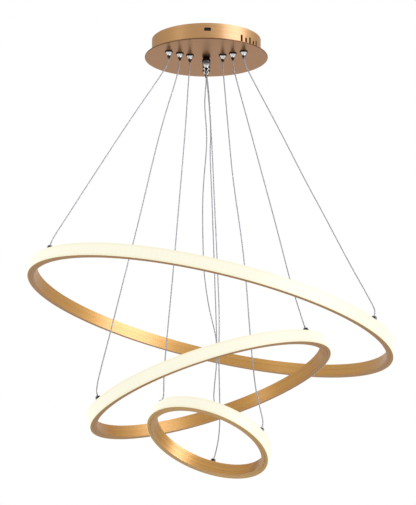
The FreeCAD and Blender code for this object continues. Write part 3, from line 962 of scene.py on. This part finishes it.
@dataclass
class Cord:
    """One clear-jacketed cord, or half of a far cord, with two wires and a steel strand inside.

    Points are in millimetres, all other measures in metres. bend_from and bend_to, the ends of the
    stretch between the upper and the lower body, are not used.
    """

    node: str
    points: list[Point]
    length: float
    upper_body: str
    lower_body: str
    bend_from: Point
    bend_to: Point
    diameter: float = 0.002
    sides: int = 12
    step: float = 0.003
    strands: int = 3
    strand_radius: float = 0.00034
    strand_offset: float = 0.0004
    strand_sides: int = 6
    strand_step: float = 0.001
    twist: float = 0.008

    def build(self, finishes: CordFinishes) -> None:
        """Make the jacket and the wires.

        Args:
            finishes: Finishes of the jacket and the wires.
        """
        line = follow_spline(self.node + "_line", self.points)
        wires = self._wires(line, finishes)
        jacket = self._jacket(line, finishes)
        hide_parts(self.node)
        metres(self.points[0])
        for piece in (jacket, wires):
            metres(self.bend_from)
            metres(self.bend_to)
            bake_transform(piece)
        LOG.info("cord %s is %.1f mm long", self.node, length_of(line) / MM)

    def _jacket(self, line: list[Vector], finishes: CordFinishes) -> bpy.types.Object:
        """Round jacket along the cord's line.

        Args:
            line: Points on the cord's smooth line.
            finishes: Finishes of the cords.

        Returns:
            The jacket.
        """
        bm = bmesh.new()
        sweep(bm, even_steps(line, self.step), self.diameter / 2, self.sides)
        return add_piece(self.node + "_tube", as_mesh(self.node + "_tube", bm), finishes.jacket)

    def _wires(self, line: list[Vector], finishes: CordFinishes) -> bpy.types.Object:
        """Two wires and a steel strand, twisted round each other inside the jacket.

        Args:
            line: Points on the cord's smooth line.
            finishes: Finishes of the cords.

        Returns:
            The wires and the strand, as one piece.
        """
        bm = bmesh.new()
        middle = even_steps(line, self.strand_step)
        frames = frames_along(middle)
        for strand in range(self.strands):
            helix = []
            for index, (point, (one, two)) in enumerate(zip(middle, frames)):
                turns = strand / self.strands + index * self.strand_step / self.twist
                angle = math.tau * turns
                helix.append(point + self.strand_offset * (one * math.cos(angle)
                                                           + two * math.sin(angle)))
            sweep(bm, helix, self.strand_radius, self.strand_sides)
        return add_piece(self.node + "_wires", as_mesh(self.node + "_wires", bm), finishes.wires)


# --- rings ---------------------------------------------------------------------------------------


@dataclass
class Ring:
    """One leaning light ring with its hangers and cords.

    The middle, the cords' routes and their lengths are in millimetres, the slopes in degrees.
    free_height is the plungers' lower end.
    """

    name: str
    radius: float
    middle: Point
    slope_x: float
    slope_y: float
    routes: dict[str, list[Point]] = field(default_factory=dict)
    lengths: dict[str, float] = field(default_factory=dict)
    half_height: float = 0.010
    chip_pitch: float = 0.0083
    free_height: float = -42.5
    gold: Tint = rgb(196, 149, 78)
    dark_gold: Tint = rgb(170, 123, 60)
    # painted reflection: colour of the bottom face
    lip: Tint = rgb(182, 140, 92)
    lip_above_bottom: float = 0.0001
    # painted reflections: hangers are dark with a lighter top as a painted highlight; the next
    # value lightens their sides as a painted reflection
    hanger_reflection_greys: tuple[tuple[float, int], ...] = ((0.0, 60), (0.93, 45), (0.96, 120), (1.0, 200))
    hanger_flank_reflection: float = 0.9

    @property
    def axes(self) -> Axes:
        """The ring's middle and directions.

        Returns:
            The middle in metres, and unit vectors.
        """
        axis = Vector((math.sin(math.radians(self.slope_x)), math.sin(math.radians(self.slope_y)),
                       1.0)).normalized()
        side = Vector((0, 1, 0)).cross(axis).normalized()
        return Axes(Vector(self.middle) * MM, side, axis.cross(side), axis)

    @property
    def chips(self) -> int:
        """Light chips round the ring."""
        return round(math.tau * self.radius / self.chip_pitch)

    def dress_metal(self) -> None:
        """Give the channel, cover, strip, hangers and cord ends their finishes."""
        # the lip colour is a painted reflection on the bottom face
        gold = BrushedGold(f"{self.name}_ring_gold", self.axes, self.gold, self.dark_gold,
                           lip_height=self.half_height - self.lip_above_bottom,
                           lip_reflection_colour=self.lip)
        dress(f"{self.name}_channel", gold.material())
        opal = LitOpal(f"{self.name}_opal", self.axes, self.half_height, self.chips)
        dress(f"{self.name}_diffuser", opal.material())
        strip = LightStrip(f"{self.name}_strip", self.axes, self.chips)
        dress(f"{self.name}_led_strip", strip.material())
        # hanger chrome: painted reflections and a painted highlight by height
        chrome = Chrome(f"{self.name}_chrome", self.axes, grey_bands(*self.hanger_reflection_greys),
                        self.half_height + HANGER_TOP, flank_reflection=self.hanger_flank_reflection)
        for part in ("hangers", "side_ferrules", "far_ferrule"):
            dress(f"{self.name}_{part}", chrome.material())

    def hang(self, finishes: CordFinishes) -> None:
        """Build the ring's cords.

        Args:
            finishes: Finishes of the cords.
        """
        for part, points in self.routes.items():
            lower = part == "far_lower"
            bodies = {"upper_body": f"{self.name}_cord_ends" if lower else "canopy",
                      "lower_body": f"{self.name}_ring" if lower else f"{self.name}_cord_ends"}
            start = points[0] if lower else (*points[0][:2], self.free_height)
            Cord(node=f"{self.name}_cord_{part}", points=points, length=self.lengths[part] * MM,
                 bend_from=start, bend_to=points[-1], **bodies).build(finishes)


RINGS = [
    Ring("large", 0.300, (7.0, 7.0, -458.5), 13.4, 3.9,
         lengths={"left": 397.0, "right": 508.8, "far_upper": 289.5, "far_lower": 202.2},
         routes={
             "left": [(-61.1, -35.2, -33.5), (-61.1, -35.2, -48), (-71, -41, -69),
                      (-121, -66, -153), (-179, -96, -257), (-224, -120, -339),
                      (-238.7, -129.4, -366.0), (-240.2, -129.8, -372.4)],
             "right": [(61.1, -35.2, -33.5), (61.1, -35.2, -48), (70, -42, -70),
                       (118, -69, -174), (156, -91, -261), (184, -105, -320),
                       (218, -123, -395), (247, -139, -455), (258.6, -147.2, -480.1),
                       (257.1, -147.6, -486.4)],
             "far_upper": [(0, 70.5, -33.5), (0, 70.5, -48), (-2, 81, -66), (-3, 95, -86),
                           (1, 117, -125), (0, 133, -156), (-4, 153, -192), (-7, 180, -240),
                           (-6, 206, -287)],
             "far_lower": [(-6, 206, -287), (-5, 232, -334), (-1, 250, -367), (5, 270, -402),
                           (13, 288, -430), (18.4, 302.6, -455.0), (16.9, 302.2, -461.3)],
         }),
    Ring("middle", 0.200, (5.0, 2.0, -575.5), -18.6, 6.8,
         lengths={"left": 585.0, "right": 482.1, "far_upper": 260.4, "far_lower": 303.6},
         routes={
             "left": [(-43.3, -25, -33.5), (-43.3, -25, -48), (-48, -27, -72), (-75, -38, -166),
                      (-107, -54, -318), (-123, -62, -386), (-149, -74, -500),
                      (-164, -80, -562), (-170.3, -84.5, -594.2), (-168.4, -85.2, -600.4)],
             "right": [(43.3, -25, -33.5), (43.3, -25, -48), (48, -28, -72), (71, -46, -167),
                       (92, -60, -254), (114, -74, -345), (131, -87, -422),
                       (150.2, -99.1, -490.3), (152.2, -99.8, -496.4)],
             "far_upper": [(0, 50, -33.5), (0, 50, -48), (3, 54, -70), (8, 75, -134),
                           (6, 86, -172), (9, 101, -228), (11, 117, -284)],
             "far_lower": [(11, 117, -284), (13, 133, -340), (17, 163, -451), (18, 178, -506),
                           (14, 191, -545), (12.0, 198.2, -569.6), (14.0, 197.5, -575.7)],
         }),
    # painted highlight: the small ring's lip colour is lighter, standing in for a brighter
    # reflection on its bottom face
    Ring("small", 0.100, (4.6, -9.0, -659.5), 21.1, 25.0, lip=rgb(228, 190, 138),
         lengths={"left": 570.1, "right": 619.3, "far_upper": 272.0, "far_lower": 379.5},
         routes={
             "left": [(-26.8, -15.5, -33.5), (-26.8, -15.5, -48), (-29, -17, -74),
                      (-34, -19, -160), (-46, -24, -310), (-52, -26, -388), (-62, -29, -500),
                      (-67, -31, -564), (-66.4, -31.1, -595.4), (-68.4, -33.5, -601.1)],
             "right": [(26.8, -15.5, -33.5), (26.8, -15.5, -48), (29, -18, -74),
                       (36, -24, -162), (43, -29, -246), (57, -36, -345), (64, -42, -420),
                       (69, -47, -500), (76, -51, -582), (84, -54, -618),
                       (89.4, -55.0, -641.4), (87.3, -57.4, -647.1)],
             "far_upper": [(0, 31, -33.5), (0, 31, -48), (4, 33, -72), (8, 40, -144),
                           (11, 45, -200), (13, 49, -251), (15.5, 53.5, -304)],
             "far_lower": [(15.5, 53.5, -304), (18, 58, -357), (22, 66, -462), (20, 70, -511),
                           (22, 77, -585), (22, 83, -640), (14.9, 87.4, -674.8),
                           (12.8, 85.0, -680.4)],
         }),
]


# --- canopy --------------------------------------------------------------------------------------


class Arm(Enum):
    """Rows of grippers under the plate."""

    LEFT = "left"
    RIGHT = "right"
    FAR = "far"


@dataclass
class Canopy:
    """Drum, plate, grippers and what hides inside the drum."""

    zinc_nodes: tuple[str, ...] = ("ceiling_bracket", "centre_stud", "bracket_nut", "plate_nuts",
                                   "gripper_nuts")
    driver_nodes: tuple[str, ...] = ("led_driver_left", "led_driver_right")
    # painted reflections: the ball nut is dark above with a painted highlight at its bottom; the
    # grippers carry a bright painted highlight band and painted shade at the flange next to the
    # plate
    ball_reflection_greys: tuple[tuple[float, int], ...] = ((0.0, 235), (0.13, 90), (0.3, 45))
    gripper_reflection_greys: tuple[tuple[float, int], ...] = (
        (0.0, 90), (0.2, 60), (0.28, 215), (0.42, 235), (0.445, 40), (1.0, 60))

    def dress(self, rings: list[Ring]) -> None:
        """Give every piece of the canopy its finish.

        Args:
            rings: The rings, whose names the grippers carry.
        """
        # the drum keeps its gold only on the outer skin; the vents' cut edges and the inside are
        # painted shade
        drum = BrushedGold("drum_gold", CANOPY_AXES, rgb(185, 144, 94), rgb(164, 121, 75),
                           line_height=0.000006, coat=0.5, edge_tint=(0.4, 0.3, 0.2, 1.0),
                           skin_radius=0.0899)
        dress("canopy_drum", drum.material())
        # the plate's darker rim is a painted dark reflection of its rounded edge
        plate = BrushedGold("plate_gold", CANOPY_AXES, rgb(158, 117, 83), rgb(151, 110, 77),
                            roughness=0.22, line_height=0.000002, coat=0.1,
                            edge_tint=(0.85, 0.75, 0.66, 1.0), reflection_rim_radius=0.1015)
        dress("canopy_plate", plate.material())
        zinc = ZincPlate("zinc_steel").material()
        for node in self.zinc_nodes:
            dress(node, zinc)
        case = MouldedPlastic("driver_case", rgb(232, 231, 227)).material()
        for node in self.driver_nodes:
            dress(node, case)
        # painted shade: a near-black sheet stands in for the shade inside the drum, seen through
        # its vents
        black = MouldedPlastic("black_sheet", rgb(6, 6, 7), roughness=0.85)
        dress("dust_screen", black.material())
        nylon = MouldedPlastic("terminal_nylon", rgb(226, 222, 206), roughness=0.36,
                               grain_scale=700.0, through=0.15)
        dress("terminal_block", nylon.material())
        # painted reflections and highlights on the ball nut and the grippers
        ball = Chrome("ball_chrome", CANOPY_AXES, grey_bands(*self.ball_reflection_greys))
        dress("ball_nut", ball.material())
        gripper = Chrome("gripper_chrome", CANOPY_AXES, grey_bands(*self.gripper_reflection_greys))
        chrome = gripper.material()
        for ring in rings:
            for arm in Arm:
                dress(f"gripper_{ring.name}_{arm.value}", chrome)
                dress(f"plunger_{ring.name}_{arm.value}", chrome)


# --- studio --------------------------------------------------------------------------------------


@dataclass(frozen=True)
class SoftLamp:
    """A soft rectangular lamp that shines at the rings."""

    name: str
    place: Point
    width: float
    height: float
    watts: float
    colour: Colour = (1.0, 1.0, 1.0)
    aim: Point = (0.0, 0.0, -0.4)

    def build(self) -> None:
        """Put the lamp in the scene."""
        light = bpy.data.lights.new(self.name, "AREA")
        light.shape = "RECTANGLE"
        light.size = self.width
        light.size_y = self.height
        light.energy = self.watts
        light.color = self.colour
        lamp = bpy.data.objects.new(self.name, light)
        lamp.location = self.place
        lamp.rotation_mode = "QUATERNION"
        aim = Vector(self.aim) - Vector(self.place)
        lamp.rotation_quaternion = aim.to_track_quat("-Z", "Y")
        lamp.visible_camera = False
        bpy.context.scene.collection.objects.link(lamp)


@dataclass
class Studio:
    """White surroundings, pale floor, soft lamps and the camera."""

    camera_place: Point = (0.0028, -3.017, -1.0055)
    camera_lift: float = 12.11
    sensor_height: float = 24.0
    lens: float = 90.87
    clip: tuple[float, float] = (0.05, 50.0)
    floor_level: float = -3.4
    floor_half_size: float = 3.5
    ambient: float = 0.45
    lamps: tuple[SoftLamp, ...] = (
        SoftLamp("lamp_right", (2.35, -1.35, 0.2), 2.2, 1.5, watts=60.0, colour=(0.92, 1.0, 1.3)),
        SoftLamp("lamp_left", (-2.2, -1.5, 0.0), 0.5, 1.4, watts=6.0),
        SoftLamp("lamp_top", (0.3, 0.4, 1.8), 1.6, 1.6, watts=10.0))

    def build(self) -> None:
        """Build everything round the hanging light."""
        self._world()
        self._floor()
        self._camera()
        for lamp in self.lamps:
            lamp.build()

    def _world(self) -> None:
        """White where the camera, gloss and clear pieces look, softer for plain light."""
        world = bpy.data.worlds.new("studio")
        world.use_nodes = True
        bpy.context.scene.world = world
        graph = Graph(world.node_tree)
        rays = "ShaderNodeLightPath"
        seen = (graph.node(rays, output="Is Camera Ray") + graph.node(rays, output="Is Glossy Ray")
                + graph.node(rays, output="Is Transmission Ray"))
        share = graph.within(seen, 0.0, 1.0)
        soft = graph.node("ShaderNodeBackground", {}, {"Color": (1, 1, 1, 1),
                                                       "Strength": self.ambient})
        white = graph.node("ShaderNodeBackground", {}, {"Color": (1, 1, 1, 1), "Strength": 1.0})
        both = graph.node("ShaderNodeMixShader", {}, {0: share, 1: soft, 2: white})
        graph.finish("ShaderNodeOutputWorld", both)

    def _floor(self) -> None:
        """Pale floor far below the rings."""
        bm = bmesh.new()
        reach = self.floor_half_size
        corners = [bm.verts.new((x * reach, y * reach, self.floor_level))
                   for x, y in ((-1, -1), (1, -1), (1, 1), (-1, 1))]
        bm.faces.new(corners)
        floor = add_piece("floor", as_mesh("floor", bm), PaleFloor("floor_pale").material(),
                          smooth=False)

    def _camera(self) -> None:
        """Camera at the photograph's place and angle."""
        data = bpy.data.cameras.new("camera")
        data.sensor_fit = "VERTICAL"
        data.sensor_height = self.sensor_height
        data.sensor_width = self.sensor_height
        data.lens = self.lens
        data.clip_start, data.clip_end = self.clip
        camera = bpy.data.objects.new("camera", data)
        camera.location = self.camera_place
        camera.rotation_euler = (math.radians(90.0 + self.camera_lift), 0.0, 0.0)
        bpy.context.scene.collection.objects.link(camera)
        bpy.context.scene.camera = camera


def main() -> None:
    """Build the studio, the canopy and the rings."""
    bpy.context.scene.view_settings.view_transform = "Standard"
    Studio().build()
    LOG.info("studio built")
    Canopy().dress(RINGS)
    finishes = CordFinishes(ClearJacket("clear_jacket").material(),
                            TinnedWire("tinned_wire").material())
    for ring in RINGS:
        ring.dress_metal()
        ring.hang(finishes)
        LOG.info("ring %s built", ring.name)


if __name__ == "__main__":
    main()
